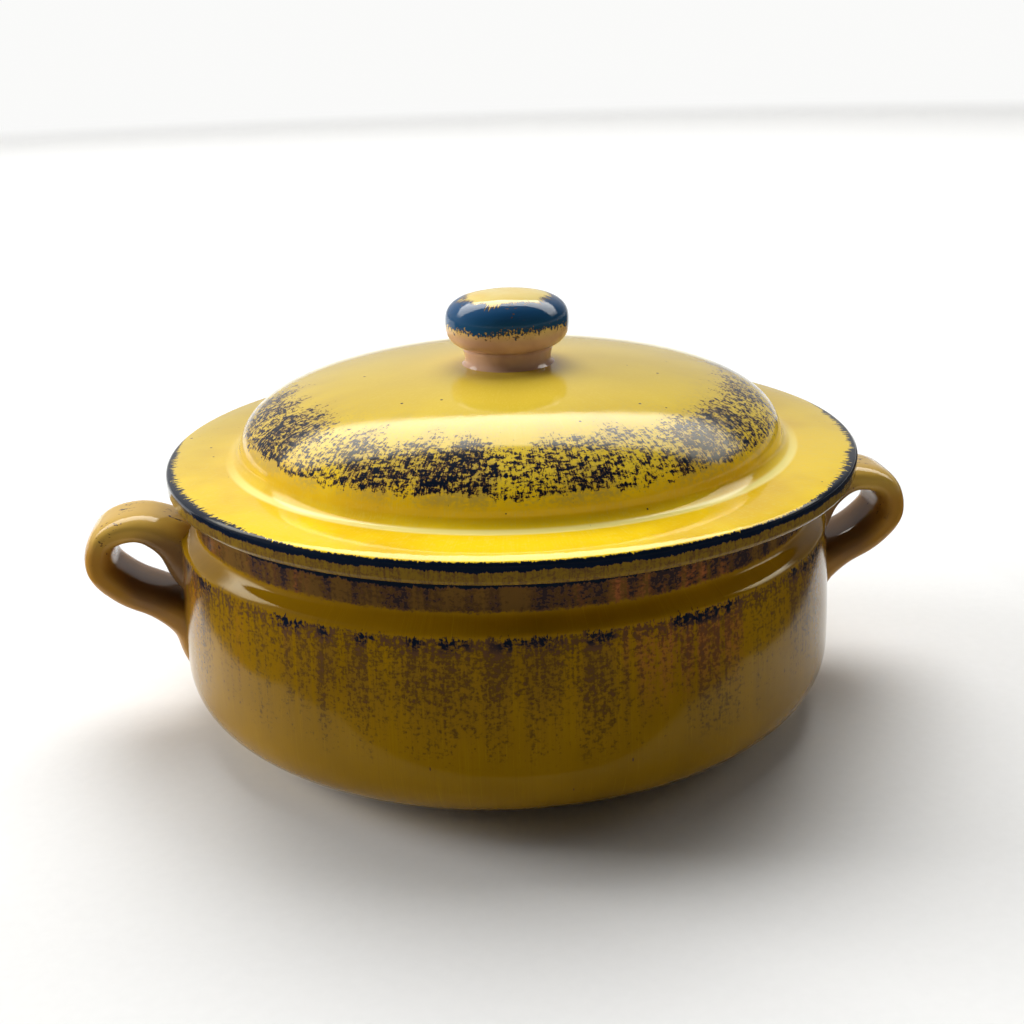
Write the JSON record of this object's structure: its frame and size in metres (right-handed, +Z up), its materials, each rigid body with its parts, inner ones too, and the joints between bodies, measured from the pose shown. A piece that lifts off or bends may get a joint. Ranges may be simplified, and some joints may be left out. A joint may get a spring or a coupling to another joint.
{
  "type": "covered casserole",
  "caption": "Round glazed earthenware casserole with a loop handle each side and a loose domed lid with a wide flat brim and a mushroom knob.",
  "frame": {"origin": "on the pot's axis, at the level of the foot ring that it stands on", "axes": "+Z up along the pot's axis, +X towards one handle and -X towards the other, -Y towards the front"},
  "size_m": [0.2952, 0.24, 0.147],
  "materials": {
    "mustard_glaze": "glossy mustard glaze, dry-brushed with indigo",
    "handle_glaze": "glossy amber-brown glaze",
    "lid_glaze": "glossy yellow glaze, dry-brushed with indigo",
    "knob_glaze": "glossy pale yellow glaze with an indigo band",
    "bare_clay": "unglazed, matt"
  },
  "bodies": {
    "pot": {"bowl": "mustard_glaze", "handle_left": "handle_glaze", "handle_right": "handle_glaze"},
    "cover": {"lid": "lid_glaze", "lid_ring": "bare_clay", "lid_knob": "knob_glaze"}
  },
  "joints": [
    {"name": "lid_lift", "type": "slide", "parent": "pot", "child": "cover", "axis": [0, 0, 1], "range_m": [0, 0.1]}
  ]
}
